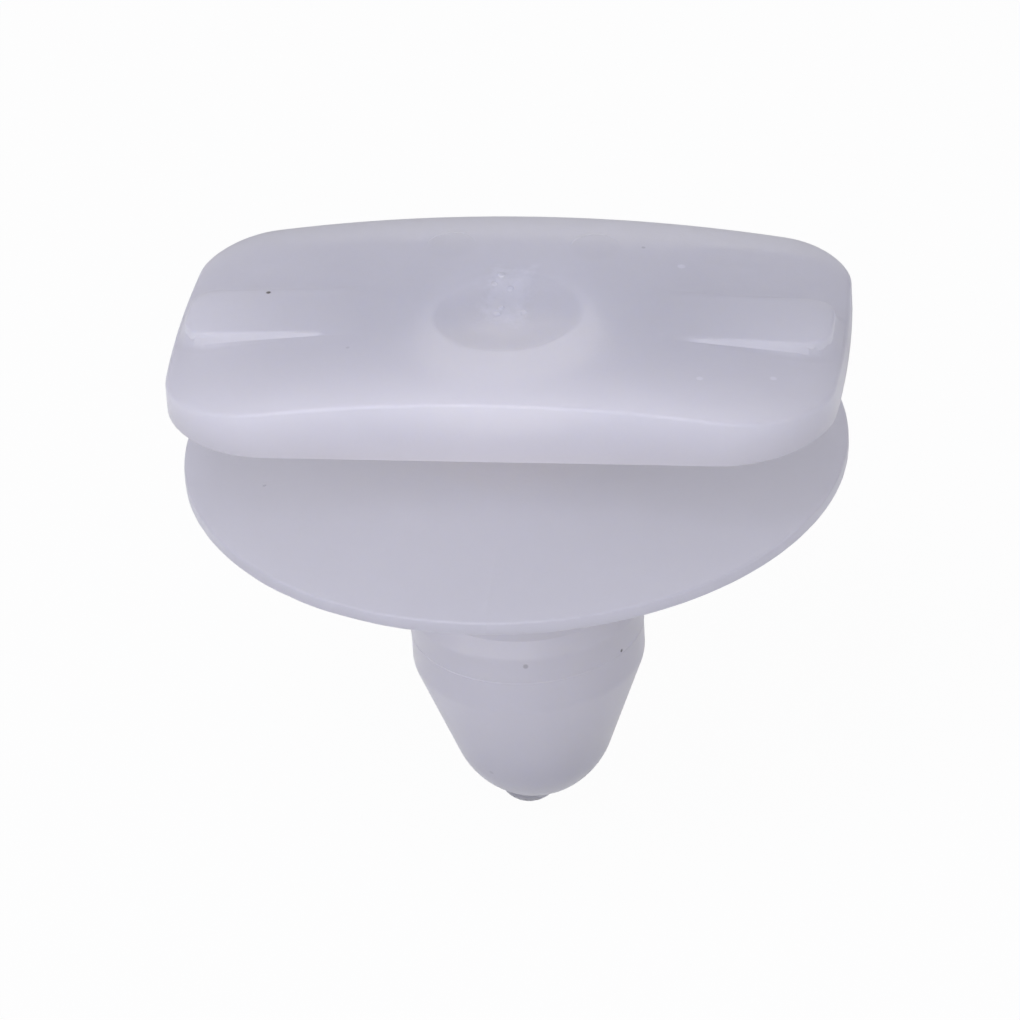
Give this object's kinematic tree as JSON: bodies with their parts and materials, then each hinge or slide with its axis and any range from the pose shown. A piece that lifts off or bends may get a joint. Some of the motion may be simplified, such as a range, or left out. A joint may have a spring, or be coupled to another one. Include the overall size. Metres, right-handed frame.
{
  "type": "molding clip",
  "caption": "One-piece white nylon trim clip: a crowned head plate with a middle rib, a short post, a thin sealing umbrella and a round snap stud with a rounded nose.",
  "frame": {"origin": "on the stud's axis, in the plane of the umbrella's rim, where the panel's face lies", "axes": "+Z along the stud's axis, from the panel towards the trim and the head; +X along the head's length; the stud points to -Z"},
  "size_m": [0.0202, 0.02, 0.0175],
  "materials": {
    "nylon": "satin moulded, slightly translucent white"
  },
  "bodies": {
    "root": {"clip_body": "nylon"}
  },
  "joints": []
}
